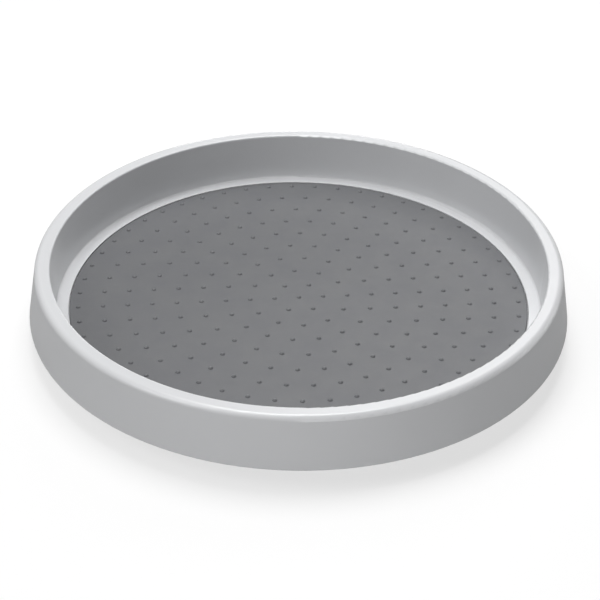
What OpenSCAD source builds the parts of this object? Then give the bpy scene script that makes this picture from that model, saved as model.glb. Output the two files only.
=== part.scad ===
// Lazy susan turntable: a moulded tray with a grip mat that turns on a ring of
// steel balls over a round base. Millimetres, +Z up, table surface at z = 0.

/* [Overall] */
// Outside diameter at the lower edge of the skirt
tray_d = 250; // [220:1:320]
// Height of the rim above the table
overall_h = 36; // [34:0.5:44]

/* [Tray] */
// Height of the skirt, from its lower edge to the top of the rim
skirt_h = 24.8; // [20:0.1:26]
// How far the skirt leans in from its lower edge to the rim
skirt_lean = 4.14; // [2:0.01:6]
// Width of the rim, from its inner edge to the skirt's top
rim_w = 6.8; // [6:0.1:10]
// Radius of the rim's outer edge
rim_round = 2.8; // [1:0.1:3]
// Radius of the rim's inner edge
rim_inner_round = 0.9; // [0.3:0.1:1.2]
// How far the inner wall leans in from the rim to its foot
wall_lean = 1.4; // [0.5:0.1:3]
// Radius of the hollow corner at the foot of the inner wall
foot_round = 1; // [0.4:0.1:2]
// Radius of the skirt's lower edge
skirt_round = 0.6; // [0.2:0.1:1]
// Height of the floor ring above the lower edge of the skirt
ring_z = 1.4; // [1:0.1:3]
// Wall thickness of the skirt and the inner wall
wall_t = 2.2; // [1.8:0.1:2.4]
// Thickness of the floor
floor_t = 2.4; // [2:0.1:3]
// Number of gussets inside the hollow rim
gusset_n = 16; // [8:1:24]
// Number of ribs under the floor
tray_rib_n = 12; // [6:1:16]

/* [Grip mat] */
// Mat diameter
mat_d = 213.4; // [190:0.1:214]
// Mat thickness without its bumps
mat_t = 1.5; // [1:0.1:1.6]
// Depth of the recess that holds the mat
recess_h = 1.7; // [1.6:0.1:2]
// Number of rings of bumps around the middle one
bump_rings = 9; // [1:1:9]
// Distance from one ring of bumps to the next
bump_pitch = 11.4; // [8:0.1:11.4]
// Angle of the first bump in every ring
bump_turn = 5.8; // [0:0.1:60]
// Diameter of a bump at its foot
bump_d = 2.3; // [1.5:0.1:4]
// Height of a bump
bump_h = 0.75; // [0.3:0.05:1]

/* [Ball bearing] */
// Number of balls
ball_n = 12; // [12:1:12]
// Ball diameter
ball_d = 6; // [6:0.1:6]
// Radius of the circle that the balls run on
track_r = 70; // [60:1:80]
// Depth of the grooves that the balls run in
groove_h = 1; // [0.5:0.1:1]
// Running clearance over and under a ball
ball_gap = 0.05; // [0.02:0.01:0.1]
// Clearance of a ball in its pocket
pocket_gap = 0.08; // [0.05:0.01:0.1]

/* [Base] */
// Base diameter
base_d = 200; // [180:1:206]
// Thickness of the base plate
base_t = 2.4; // [2:0.1:2.4]
// Height of the base's turned-up edge
base_edge_h = 5.8; // [3:0.1:5.8]
// Number of ribs on the base
base_rib_n = 12; // [6:1:16]

/* [Pivot] */
// Diameter of the tray's pivot boss
boss_d = 14; // [12:0.5:14]
// Running clearance of the boss in its bush
boss_gap = 0.06; // [0.03:0.01:0.1]
// Wall thickness of the bush
bush_t = 2; // [1.5:0.1:2.5]
// Diameter of the retaining washer
washer_d = 20; // [19:0.5:21]
// Thickness of the retaining washer
washer_t = 0.9; // [0.6:0.1:1]
// Diameter of the screw's shank
screw_d = 3.6; // [3:0.1:4]
// Diameter of the screw's head
head_d = 8; // [7:0.1:9]
// Height of the screw's head
head_h = 1.9; // [1.5:0.1:2]

/* [Feet] */
// Number of feet
foot_n = 6; // [6:1:6]
// Foot diameter
foot_d = 12; // [8:0.5:14]
// How far the feet stand out of the base
foot_h = 1.2; // [1:0.1:1.4]
// Depth of the pocket that holds a foot
foot_seat = 1; // [0.5:0.1:1]
// Radius of the circle that the feet stand on
foot_r = 86; // [80:1:90]

/* [Hidden] */
$fn = 96;
// Overlap that joins one solid to the next, and slack of a cut past a face
weld = 0.3;
tray_r = tray_d / 2;
mat_r = mat_d / 2;
recess_r = mat_r + 0.3;
ball_r = ball_d / 2;
base_r = base_d / 2;
boss_r = boss_d / 2;
screw_r = screw_d / 2;
head_r = head_d / 2;

// Heights above the table
skirt_z = overall_h - skirt_h;
floor_z = skirt_z + ring_z;
seat_z = floor_z - recess_h;
mat_z = seat_z + mat_t;
pan_z = seat_z - floor_t;
ring_under_z = floor_z - floor_t;
rim_under_z = overall_h - floor_t;
base_z = foot_h;
plate_z = base_z + base_t;
base_edge_z = base_z + base_edge_h;

// Track pad under the tray, the groove that crosses it, and the balls between
track_pad_h = 0.8;
track_pad_w = 8.4;
groove_r = ball_r + 0.2;
ball_top_z = pan_z - track_pad_h + groove_h;
ball_z = ball_top_z - ball_gap - ball_r;
ball_low_z = ball_z - ball_r - ball_gap;

// Rounds on the edges of the mat's recess, the pan and the base's turned-up edge
lip_round = 0.3;
pan_round = 0.8;
edge_round = 1.2;
edge_top_round = 0.6;

// Radii of the tray's section
skirt_top_r = tray_r - skirt_lean;
rim_in_r = skirt_top_r - rim_w;
wall_foot_r = rim_in_r - wall_lean;
skirt_angle = atan(skirt_lean / skirt_h);
wall_angle = atan(wall_lean / (overall_h - floor_z));

// Pivot, from the end of the boss up to the flange of the bush
boss_end_z = base_z + 2.2;
bush_end_z = boss_end_z + 0.1;
bush_in_r = boss_r + boss_gap;
bush_out_r = bush_in_r + bush_t;
bush_flange_r = bush_out_r + 2;
bush_flange_t = 0.8;
hub_top_z = pan_z - 2.4;
hub_recess_r = washer_d / 2 + 1.5;
hub_r = hub_recess_r + 2;
head_z = boss_end_z - washer_t - head_h;
screw_top_z = pan_z + 1;

// Ribs, rails, gussets and the cage
rib_t = 1.4;
tray_rib_h = 1.2;
base_rib_h = 2;
rail_t = 1.4;
rail_h = 1.6;
rail_in_r = track_r - 6;
rail_out_r = track_r + 6;
gusset_t = 1.2;
// Shallow panel in the base's underside, between the hub and the feet
panel_h = 0.5;
panel_in_r = hub_r + 3;
panel_out_r = rail_in_r - 3;
cage_w = 6;
cage_t = 1.8;
eyelet_r = 5.2;
eyelet_t = 2.6;
sector = 360 / ball_n;
foot_turn = 180 / foot_n;

BALLS = ["ball_01", "ball_02", "ball_03", "ball_04", "ball_05", "ball_06",
         "ball_07", "ball_08", "ball_09", "ball_10", "ball_11", "ball_12"];
FEET = ["foot_1", "foot_2", "foot_3", "foot_4", "foot_5", "foot_6"];

// Radius of the inner wall and of the skirt at height z
function wall_r(z) = wall_foot_r + wall_lean * (z - floor_z) / (overall_h - floor_z);
function skirt_r(z) = tray_r - skirt_lean * (z - skirt_z) / skirt_h;

// What lies outside a round of radius r, between the directions from and to
module round_corner(centre, r, from, to) {
    middle = (from + to) / 2;
    difference() {
        polygon([
            centre,
            centre + 2 * r * [cos(from), sin(from)],
            centre + 2.8 * r * [cos(middle), sin(middle)],
            centre + 2 * r * [cos(to), sin(to)]
        ]);
        translate(centre)
            circle(r = r);
    }
}

// A ring with a rectangular section
module ring(r_in, r_out, z_low, z_high)
    translate([0, 0, z_low])
        difference() {
            cylinder(r = r_out, h = z_high - z_low);
            translate([0, 0, -weld])
                cylinder(r = r_in, h = z_high - z_low + 2 * weld);
        }

// Flat ribs that run outward from r_in to r_out
module spokes(n, thick, r_in, r_out, z_low, z_high)
    for (i = [0 : n - 1])
        rotate(i * 360 / n)
            translate([r_in, -thick / 2, z_low])
                cube([r_out - r_in, thick, z_high - z_low]);

// Half section of the tray: pivot boss, pan, floor ring, inner wall, rim and skirt
module tray_section() {
    outer_z = overall_h - rim_round;
    inner_z = overall_h - rim_inner_round;
    foot_z = floor_z + foot_round;
    outer_round = [skirt_r(outer_z) - rim_round / cos(skirt_angle), outer_z];
    inner_round = [wall_r(inner_z) + rim_inner_round / cos(wall_angle), inner_z];
    low_z = skirt_z + skirt_round;
    foot_hollow = [wall_r(foot_z) - foot_round / cos(wall_angle), foot_z];
    lower_round = [skirt_r(low_z) - skirt_round / cos(skirt_angle), low_z];
    difference() {
        polygon([
            [0, seat_z],
            [recess_r, seat_z],
            [recess_r, floor_z],
            [wall_foot_r, floor_z],
            [rim_in_r, overall_h],
            [skirt_top_r, overall_h],
            [tray_r, skirt_z],
            [tray_r - wall_t, skirt_z],
            [skirt_r(rim_under_z) - wall_t, rim_under_z],
            [wall_r(rim_under_z) + wall_t, rim_under_z],
            [wall_foot_r + wall_t, ring_under_z],
            [recess_r + wall_t, ring_under_z],
            [recess_r + wall_t, pan_z],
            [track_r + track_pad_w / 2, pan_z],
            [track_r + track_pad_w / 2, pan_z - track_pad_h],
            [track_r - track_pad_w / 2, pan_z - track_pad_h],
            [track_r - track_pad_w / 2, pan_z],
            [boss_r, pan_z],
            [boss_r, boss_end_z],
            [screw_r, boss_end_z],
            [screw_r, screw_top_z],
            [0, screw_top_z]
        ]);
        round_corner(outer_round, rim_round, skirt_angle, 90);
        round_corner(inner_round, rim_inner_round, 90, 180 - wall_angle);
        round_corner(lower_round, skirt_round, -90, skirt_angle);
        round_corner([recess_r + lip_round, floor_z - lip_round], lip_round, 90, 180);
        round_corner([recess_r + wall_t - pan_round, pan_z + pan_round], pan_round, -90, 0);
        translate([track_r, ball_top_z - groove_r])
            circle(r = groove_r);
    }
    round_corner(foot_hollow, foot_round, -90, -wall_angle);
}

// A gusset between the inner wall and the skirt, under the rim
module gusset() {
    low_z = skirt_z + 4;
    rotate([90, 0, 0])
        translate([0, 0, -gusset_t / 2])
            linear_extrude(gusset_t)
                polygon([
                    [wall_r(low_z) + wall_t - weld, low_z],
                    [skirt_r(low_z) - wall_t + weld, low_z],
                    [skirt_r(rim_under_z) - wall_t + weld, rim_under_z + weld],
                    [wall_r(rim_under_z) + wall_t - weld, rim_under_z + weld]
                ]);
}

module tray()
    color("white") {
        rotate_extrude()
            tray_section();
        for (i = [0 : gusset_n - 1])
            rotate((i + 0.5) * 360 / gusset_n)
                gusset();
        spokes(tray_rib_n, rib_t, boss_r - weld, track_r - track_pad_w / 2 + weld,
               pan_z - tray_rib_h, pan_z + weld);
        spokes(tray_rib_n, rib_t, track_r + track_pad_w / 2 - weld, recess_r + wall_t,
               pan_z - track_pad_h, pan_z + weld);
    }

// A low dome that stands on the mat
module bump() {
    dome_r = (bump_d * bump_d / 4 + bump_h * bump_h) / (2 * bump_h);
    rotate_extrude($fn = 24)
        intersection() {
            translate([0, bump_h - dome_r])
                circle(r = dome_r, $fn = 48);
            translate([0, -weld])
                square([bump_d / 2, bump_h + weld + 1]);
        }
}

// The mat: a middle bump, then rings that hold six more bumps each time
module grip_mat()
    color("gray") {
        mat_edge = 0.6;
        rotate_extrude()
            difference() {
                translate([0, seat_z])
                    square([mat_r, mat_t]);
                round_corner([mat_r - mat_edge, mat_z - mat_edge], mat_edge, 0, 90);
            }
        translate([0, 0, mat_z])
            bump();
        for (k = [1 : bump_rings], i = [0 : 6 * k - 1])
            rotate(bump_turn + i * 60 / k)
                translate([k * bump_pitch, 0, mat_z])
                    bump();
    }

// A pan head with a cross recess, facing down, and its shank in the boss
module pivot_screw()
    color("silver") {
        dome_r = 6.5;
        recess_t = 1.2;
        difference() {
            rotate_extrude() {
                intersection() {
                    translate([0, head_z])
                        square([head_r, head_h]);
                    translate([0, head_z + dome_r])
                        circle(r = dome_r);
                }
                polygon([
                    [0, head_z + head_h - weld],
                    [screw_r, head_z + head_h - weld],
                    [screw_r, screw_top_z - 1.5],
                    [0.4, screw_top_z - 0.2],
                    [0, screw_top_z - 0.2]
                ]);
            }
            intersection() {
                translate([0, 0, head_z - weld])
                    cylinder(r1 = 2.6, r2 = 0.9, h = recess_t + weld);
                union() {
                    translate([-3, -0.5, head_z - 1])
                        cube([6, 1, 4]);
                    translate([-0.5, -3, head_z - 1])
                        cube([1, 6, 4]);
                }
            }
        }
    }

module retaining_washer()
    color("silver")
        ring(screw_r + 0.25, washer_d / 2, boss_end_z - washer_t, boss_end_z);

// Half section of the base: hub, plate, ball groove and turned-up edge
module base_section() {
    edge_t = 2;
    difference() {
        polygon([
            [bush_out_r, bush_end_z],
            [bush_out_r, hub_top_z],
            [hub_r, hub_top_z],
            [hub_r, plate_z],
            [base_r - edge_t, plate_z],
            [base_r - edge_t, base_edge_z],
            [base_r, base_edge_z],
            [base_r, base_z],
            [panel_out_r, base_z],
            [panel_out_r - panel_h, base_z + panel_h],
            [panel_in_r + panel_h, base_z + panel_h],
            [panel_in_r, base_z],
            [hub_recess_r, base_z],
            [hub_recess_r, bush_end_z]
        ]);
        translate([track_r, ball_low_z + groove_r])
            circle(r = groove_r);
        round_corner([base_r - edge_round, base_z + edge_round], edge_round, -90, 0);
        round_corner([base_r - edge_top_round, base_edge_z - edge_top_round], edge_top_round, 0, 90);
    }
}

// Places a child at each foot
module at_foot(i)
    rotate(foot_turn + i * 360 / foot_n)
        translate([foot_r, 0, 0])
            children();

module base_plate()
    color("whitesmoke")
        difference() {
            union() {
                rotate_extrude()
                    base_section();
                ring(rail_in_r - rail_t, rail_in_r, plate_z - weld, plate_z + rail_h);
                ring(rail_out_r, rail_out_r + rail_t, plate_z - weld, plate_z + rail_h);
                spokes(base_rib_n, rib_t, hub_r - weld, rail_in_r - rail_t + weld,
                       plate_z - weld, plate_z + base_rib_h);
                spokes(base_rib_n, rib_t, rail_out_r + rail_t - weld, base_r - 1,
                       plate_z - weld, plate_z + base_rib_h);
            }
            for (i = [0 : foot_n - 1])
                at_foot(i)
                    translate([0, 0, base_z - weld])
                        cylinder(r = foot_d / 2 + 0.15, h = foot_seat + weld);
        }

// Flanged bush that the tray's boss turns in
module pivot_bush()
    color("ivory")
        rotate_extrude()
            polygon([
                [bush_in_r, bush_end_z],
                [bush_in_r, hub_top_z + bush_flange_t],
                [bush_flange_r, hub_top_z + bush_flange_t],
                [bush_flange_r, hub_top_z],
                [bush_out_r, hub_top_z],
                [bush_out_r, bush_end_z]
            ]);

// A thin ring with an eyelet round each ball
module ball_cage()
    color("ivory")
        difference() {
            union() {
                ring(track_r - cage_w / 2, track_r + cage_w / 2,
                     ball_z - cage_t / 2, ball_z + cage_t / 2);
                for (i = [0 : ball_n - 1])
                    rotate(i * sector)
                        translate([track_r, 0, ball_z - eyelet_t / 2])
                            cylinder(r = eyelet_r, h = eyelet_t);
            }
            for (i = [0 : ball_n - 1])
                rotate(i * sector)
                    translate([track_r, 0, ball_z - eyelet_t])
                        cylinder(r = ball_r + pocket_gap, h = 2 * eyelet_t);
        }

module ball(i)
    color("lightsteelblue")
        rotate(i * sector)
            translate([track_r, 0, ball_z])
                sphere(r = ball_r);

// A soft pad, flat underneath and rounded at its lower edge
module foot(i)
    color("dimgray")
        at_foot(i) {
            foot_edge = 0.5;
            rotate_extrude()
                difference() {
                    square([foot_d / 2, foot_h + foot_seat]);
                    round_corner([foot_d / 2 - foot_edge, foot_edge], foot_edge, -90, 0);
                }
        }

tray();
grip_mat();
pivot_screw();
retaining_washer();
base_plate();
pivot_bush();
ball_cage();
for (i = [0 : ball_n - 1]) ball(i);
for (i = [0 : foot_n - 1]) foot(i);
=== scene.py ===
import math

import bmesh
import bpy
from mathutils import Matrix, Vector

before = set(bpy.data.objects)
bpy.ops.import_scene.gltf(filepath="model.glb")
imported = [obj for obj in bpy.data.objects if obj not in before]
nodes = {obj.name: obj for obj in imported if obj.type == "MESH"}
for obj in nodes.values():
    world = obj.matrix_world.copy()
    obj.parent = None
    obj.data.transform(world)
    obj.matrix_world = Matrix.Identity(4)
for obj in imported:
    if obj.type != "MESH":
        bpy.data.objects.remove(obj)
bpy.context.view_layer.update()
scene = bpy.context.scene
print("frame loaded:", len(nodes), "pieces")


# Camera: aimed at the middle of the skirt's lower edge, a long lens from a little over the table
view = {
    "elevation": 34.13,   # degrees above the table
    "distance": 0.7935,   # metres from the point aimed at
    "aimHeight": 0.0112,
    "lens": 101.6,
    "sensor": 36,
    "nearest": 0.01,      # metres, the closest thing that it draws
    "roll": 0.69,         # degrees off level
    "turn": 0.0436,       # degrees that the aim passes right of and below the middle
    "tip": -0.0193,
}


def makeCamera():
    camera = bpy.data.objects.new("camera", bpy.data.cameras.new("camera"))
    scene.collection.objects.link(camera)
    camera.data.lens = view["lens"]
    camera.data.sensor_width = view["sensor"]
    camera.data.clip_start = view["nearest"]
    up = math.radians(view["elevation"])
    place = Vector((0, -math.cos(up), math.sin(up))) * view["distance"]
    place.z += view["aimHeight"]
    aim = Matrix.Rotation(math.radians(90) - up, 4, "X")
    turn = Matrix.Rotation(-math.radians(view["turn"]), 4, "Y")
    tip = Matrix.Rotation(math.radians(view["tip"]), 4, "X")
    roll = Matrix.Rotation(math.radians(view["roll"]), 4, "Z")
    camera.matrix_world = Matrix.Translation(place) @ aim @ turn @ tip @ roll
    scene.camera = camera


makeCamera()
print("camera placed")


# Materials

noiseSpread = {"blotch": (0.35, 0.65), "haze": (0.3, 0.7)}   # what part of a noise's range does the work


def linearColour(hexColour):
    channels = [int(hexColour[i:i + 2], 16) / 255 for i in (1, 3, 5)]
    return [c / 12.92 if c <= 0.04045 else ((c + 0.055) / 1.055) ** 2.4 for c in channels] + [1]


def socket(sockets, name):
    # among those that the node shows, as a Mix node has several of each name
    return [s for s in sockets if s.name == name and s.enabled][0]


def addNode(material, kind, settings=None, links=None):
    # a setting is a property of the node or the value of a socket; a link is a socket's source
    node = material.node_tree.nodes.new("ShaderNode" + kind)
    for name, value in (settings or {}).items():
        if name in node.bl_rna.properties:
            setattr(node, name, value)
        else:
            socket(node.inputs, name).default_value = value
    for name, source in (links or {}).items():
        material.node_tree.links.new(source, socket(node.inputs, name))
    return node


def metres(millimetres):
    return millimetres / 1000


def perMetre(millimetres):
    return 1000 / millimetres   # a noise of this scale has features of that size


def surface(look):
    # shared by every finish: two near tones in soft blotches, an uneven gloss, a slow waviness
    # of the moulded or turned face, and a fine grain on top of it
    material = bpy.data.materials.new(look["name"])
    material.use_nodes = True
    shader = material.node_tree.nodes["Principled BSDF"]
    here = addNode(material, "TexCoord").outputs["Object"]
    blotch = addNode(material, "TexNoise", {"Scale": perMetre(look["blotchSize"]), "Detail": 3},
                     {"Vector": here})
    low, high = noiseSpread["blotch"]
    tone = addNode(material, "MapRange", {"From Min": low, "From Max": high},
                   {"Value": blotch.outputs["Fac"]})
    tint = addNode(material, "Mix", {"data_type": "RGBA", "A": linearColour(look["colour"]),
                                     "B": linearColour(look["otherColour"])},
                   {"Factor": tone.outputs["Result"]})
    haze = addNode(material, "TexNoise", {"Scale": perMetre(look["hazeSize"]), "Detail": 4},
                   {"Vector": here})
    low, high = noiseSpread["haze"]
    rough = addNode(material, "MapRange", {"From Min": low, "From Max": high,
                                           "To Min": look["roughness"] - look["haze"],
                                           "To Max": look["roughness"] + look["haze"]},
                    {"Value": haze.outputs["Fac"]})
    wave = addNode(material, "TexNoise", {"Scale": perMetre(look["waveSize"]), "Detail": 1},
                   {"Vector": here})
    slow = addNode(material, "Bump", {"Distance": metres(look["waveDepth"])},
                   {"Height": wave.outputs["Fac"]})
    grain = addNode(material, "TexNoise", {"Scale": perMetre(look["grainSize"]), "Detail": 2},
                    {"Vector": here})
    fine = addNode(material, "Bump", {"Distance": metres(look["grainDepth"])},
                   {"Height": grain.outputs["Fac"], "Normal": slow.outputs["Normal"]})
    for name, source in (("Base Color", socket(tint.outputs, "Result")),
                         ("Roughness", rough.outputs["Result"]),
                         ("Normal", fine.outputs["Normal"])):
        material.node_tree.links.new(source, shader.inputs[name])
    for name, value in look.get("shader", {}).items():
        shader.inputs[name].default_value = value
    return material


def dress(names, material):
    for name in names:
        slots = nodes[name].data.materials
        slots.clear()
        slots.append(material)


def numbered(stem):
    return sorted(name for name in nodes if name.startswith(stem) and name[-1].isdigit())


# Sizes and depths below are in millimetres.

# Polypropylene from a polished mould: bright white, satin gloss, faint sink waves over the gussets.
# The real grain is a few hundredths of a millimetre, drawn at half a millimetre so that it shows.
trayPlastic = {
    "name": "moulded polypropylene",
    "colour": "#dfe0e2", "otherColour": "#dddee0", "blotchSize": 60,
    "roughness": 0.26, "haze": 0.012, "hazeSize": 9,
    "waveSize": 24, "waveDepth": 0.02,
    "grainSize": 0.5, "grainDepth": 0.002,
    "shader": {"IOR": 1.49},
}
dress(["tray"], surface(trayPlastic))

# Thermoplastic rubber from an etched mould: mid grey, matt, with a fine leathery tooth that
# scatters the light and a little bloom that lightens it in patches.
matRubber = {
    "name": "thermoplastic rubber",
    "colour": "#6f7072", "otherColour": "#6c6d70", "blotchSize": 14,
    "roughness": 0.5, "haze": 0.04, "hazeSize": 5,
    "waveSize": 12, "waveDepth": 0.02,
    "grainSize": 0.45, "grainDepth": 0.03,
    "shader": {"IOR": 1.5},
}
dress(["grip_mat"], surface(matRubber))

# Polypropylene from a spark-eroded mould: the same white as the tray with a dry, even grain.
basePlastic = {
    "name": "grained polypropylene",
    "colour": "#d9dadd", "otherColour": "#d5d6da", "blotchSize": 45,
    "roughness": 0.42, "haze": 0.05, "hazeSize": 6,
    "waveSize": 20, "waveDepth": 0.03,
    "grainSize": 0.4, "grainDepth": 0.04,
    "shader": {"IOR": 1.49},
}
dress(["base_plate"], surface(basePlastic))

# Natural acetal from a smooth mould: ivory, waxy, slippery.
bushPlastic = {
    "name": "natural acetal",
    "colour": "#e6e1d2", "otherColour": "#e0dac8", "blotchSize": 6,
    "roughness": 0.3, "haze": 0.06, "hazeSize": 2,
    "waveSize": 5, "waveDepth": 0.01,
    "grainSize": 0.3, "grainDepth": 0.004,
    "shader": {"IOR": 1.48},
}
dress(["pivot_bush"], surface(bushPlastic))

# Undyed nylon: a little yellower and hazier than the acetal, with flow marks between the pockets.
cagePlastic = {
    "name": "natural nylon",
    "colour": "#dedac9", "otherColour": "#d3cdb8", "blotchSize": 9,
    "roughness": 0.38, "haze": 0.08, "hazeSize": 3,
    "waveSize": 7, "waveDepth": 0.02,
    "grainSize": 0.35, "grainDepth": 0.01,
    "shader": {"IOR": 1.53},
}
dress(["ball_cage"], surface(cagePlastic))

# Ground and polished bearing steel: nearly a mirror, with a thin haze from the lapping.
ballSteel = {
    "name": "polished bearing steel",
    "colour": "#cfd0d2", "otherColour": "#c5c6c9", "blotchSize": 2,
    "roughness": 0.12, "haze": 0.05, "hazeSize": 0.8,
    "waveSize": 2, "waveDepth": 0.002,
    "grainSize": 0.3, "grainDepth": 0.0005,
    "shader": {"Metallic": 1},
}
dress(numbered("ball_"), surface(ballSteel))

# Zinc-plated steel, cold headed: bluish, finely mottled, duller than the balls.
screwSteel = {
    "name": "zinc plated steel, headed",
    "colour": "#b9bdc2", "otherColour": "#a9adb4", "blotchSize": 1.2,
    "roughness": 0.3, "haze": 0.1, "hazeSize": 0.7,
    "waveSize": 2, "waveDepth": 0.01,
    "grainSize": 0.25, "grainDepth": 0.004,
    "shader": {"Metallic": 1},
}
dress(["pivot_screw"], surface(screwSteel))

# Zinc-plated steel, punched from strip: flatter than the screw, with broader spangle.
washerSteel = {
    "name": "zinc plated steel, punched",
    "colour": "#bdc1c6", "otherColour": "#aeb2b9", "blotchSize": 2.5,
    "roughness": 0.34, "haze": 0.08, "hazeSize": 1.5,
    "waveSize": 5, "waveDepth": 0.01,
    "grainSize": 0.25, "grainDepth": 0.003,
    "shader": {"Metallic": 1},
}
dress(["retaining_washer"], surface(washerSteel))

# Soft rubber: charcoal, dead matt, with a pebbled face that grips the table.
footRubber = {
    "name": "soft rubber",
    "colour": "#4a4b4d", "otherColour": "#424345", "blotchSize": 4,
    "roughness": 0.75, "haze": 0.08, "hazeSize": 1.5,
    "waveSize": 6, "waveDepth": 0.02,
    "grainSize": 0.4, "grainDepth": 0.03,
    "shader": {"IOR": 1.52},
}
dress(numbered("foot_"), surface(footRubber))
print("finishes on")


# Studio

floorLook = {
    "name": "white paper floor",
    "size": 3,                # metres from the middle to each side
    "colour": "#9a9a9a",      # what it shows the camera of the lamps' light
    "burn": "#d6d6d6",        # added to that, as the paper is lit until it is nearly white
    "bounce": "#acacac",      # what it throws back on the tray, as a small sheet would
}


def makeFloor():
    mesh = bpy.data.meshes.new("floor")
    shape = bmesh.new()
    bmesh.ops.create_grid(shape, x_segments=1, y_segments=1, size=floorLook["size"])
    shape.to_mesh(mesh)
    shape.free()
    floor = bpy.data.objects.new("floor", mesh)
    scene.collection.objects.link(floor)
    paper = bpy.data.materials.new(floorLook["name"])
    paper.use_nodes = True
    seen = addNode(paper, "LightPath").outputs["Is Camera Ray"]
    tone = addNode(paper, "Mix", {"data_type": "RGBA", "A": linearColour(floorLook["bounce"]),
                                  "B": linearColour(floorLook["colour"])}, {"Factor": seen})
    shader = paper.node_tree.nodes["Principled BSDF"]
    shader.inputs["Roughness"].default_value = 1
    shader.inputs["Specular IOR Level"].default_value = 0
    shader.inputs["Emission Color"].default_value = linearColour(floorLook["burn"])
    paper.node_tree.links.new(socket(tone.outputs, "Result"), shader.inputs["Base Color"])
    paper.node_tree.links.new(seen, shader.inputs["Emission Strength"])
    mesh.materials.append(paper)


makeFloor()

# Round soft boxes aimed at the tray, in degrees and metres. Bearing 0 is behind it, 90 to its right.
softBoxes = {
    "overheadBack": {"bearing": 0, "height": 74, "distance": 1.5, "size": 0.8, "watts": 13.5},
    "overheadLeft": {"bearing": 270, "height": 80, "distance": 1.5, "size": 0.7, "watts": 3},
    "leftWindow": {"bearing": 255, "height": 25, "distance": 1.5, "size": 0.9, "watts": 1.8},
    "leftLamp": {"bearing": 240, "height": 47, "distance": 1.5, "size": 0.8, "watts": 5.6},
    "backLamp": {"bearing": 18, "height": 44, "distance": 0.6, "size": 0.3, "watts": 0.63},
    "backdrop": {"bearing": 0, "height": 6, "distance": 1.5, "size": 0.5, "watts": 2.8},
    "frontCard": {"bearing": 169, "height": 11, "distance": 0.52, "size": 0.2, "watts": 0.44},
    "rightCard": {"bearing": 75, "height": 9, "distance": 0.5, "size": 0.25, "watts": 0.3},
}


def makeSoftBox(name, box):
    light = bpy.data.lights.new(name, "AREA")
    light.shape = "DISK"
    light.size = box["size"]
    light.energy = box["watts"]
    lamp = bpy.data.objects.new(name, light)
    scene.collection.objects.link(lamp)
    up = math.radians(box["height"])
    around = math.radians(box["bearing"])
    place = Vector((math.sin(around) * math.cos(up), math.cos(around) * math.cos(up), math.sin(up)))
    place *= box["distance"]
    lamp.matrix_world = Matrix.Translation(place) @ place.to_track_quat("Z", "Y").to_matrix().to_4x4()


for name, box in softBoxes.items():
    makeSoftBox(name, box)

roomLook = {"colour": "#ffffff", "strength": 0.02}   # what little the room adds to the lamps

world = bpy.data.worlds.new("studio")
scene.world = world
world.use_nodes = True
room = world.node_tree.nodes["Background"]
room.inputs["Color"].default_value = linearColour(roomLook["colour"])
room.inputs["Strength"].default_value = roomLook["strength"]
scene.view_settings.view_transform = "Standard"
print("studio lit")
